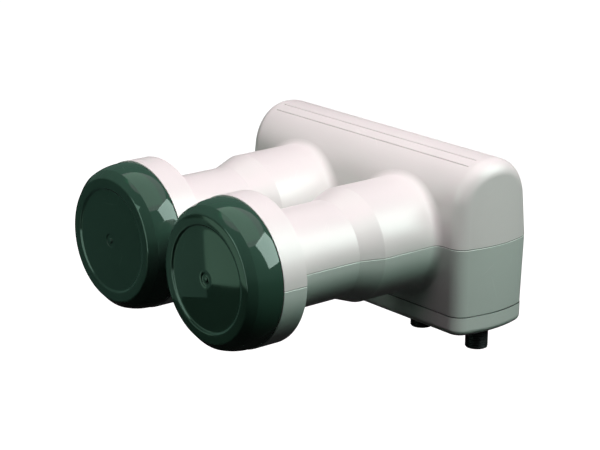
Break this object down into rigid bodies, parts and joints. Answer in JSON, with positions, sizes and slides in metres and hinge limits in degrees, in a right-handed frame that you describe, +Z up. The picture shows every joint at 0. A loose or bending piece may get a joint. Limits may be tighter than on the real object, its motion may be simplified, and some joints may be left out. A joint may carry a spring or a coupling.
{
  "type": "satellite LNB",
  "caption": "Twin-feed satellite LNB with dark weather caps, two clamp necks, a domed two-piece housing and F connectors under it.",
  "frame": {"origin": "midway between the two clamp necks: halfway between the feed axes and halfway along the 36 mm necks", "axes": "the feeds look towards -Y, +X runs from the left feed to the right one as seen from the front, +Z is up and the connectors point towards -Z"},
  "size_m": [0.14, 0.1407, 0.0817],
  "materials": {
    "housing_plastic": "fine satin grain, off-white",
    "cap_plastic": "glossy, very dark green",
    "seal_rubber": "soft black rubber",
    "cast_alloy": "die-cast, slightly rough",
    "board": "lacquered glass-fibre board",
    "screw_steel": "zinc plated",
    "ceramic": "fired ceramic",
    "contact_brass": "bare brass",
    "chip_plastic": "moulded epoxy",
    "connector_plating": "dark nickel plating",
    "insulator_plastic": "natural polyethylene"
  },
  "bodies": {
    "root": {"upper_shell": "housing_plastic", "lower_shell": "housing_plastic", "bottom_cover": "housing_plastic", "feed_cap_left": "cap_plastic", "feed_cap_right": "cap_plastic", "cap_seal_left": "seal_rubber", "cap_seal_right": "seal_rubber", "chassis_casting": "cast_alloy", "circuit_board": "board", "lid_gasket": "seal_rubber", "shield_lid": "cast_alloy", "lid_screws": "screw_steel", "resonator_pucks": "ceramic", "tuning_screws": "contact_brass", "switch_chip": "chip_plastic", "voltage_regulator": "chip_plastic", "amplifier_transistors": "chip_plastic", "housing_screws": "screw_steel", "f_connector_1": "connector_plating", "insulator_of_connector_1": "insulator_plastic", "contact_of_connector_1": "contact_brass", "seal_of_connector_1": "seal_rubber", "f_connector_2": "connector_plating", "insulator_of_connector_2": "insulator_plastic", "contact_of_connector_2": "contact_brass", "seal_of_connector_2": "seal_rubber", "f_connector_3": "connector_plating", "insulator_of_connector_3": "insulator_plastic", "contact_of_connector_3": "contact_brass", "seal_of_connector_3": "seal_rubber", "f_connector_4": "connector_plating", "insulator_of_connector_4": "insulator_plastic", "contact_of_connector_4": "contact_brass", "seal_of_connector_4": "seal_rubber"}
  },
  "joints": []
}
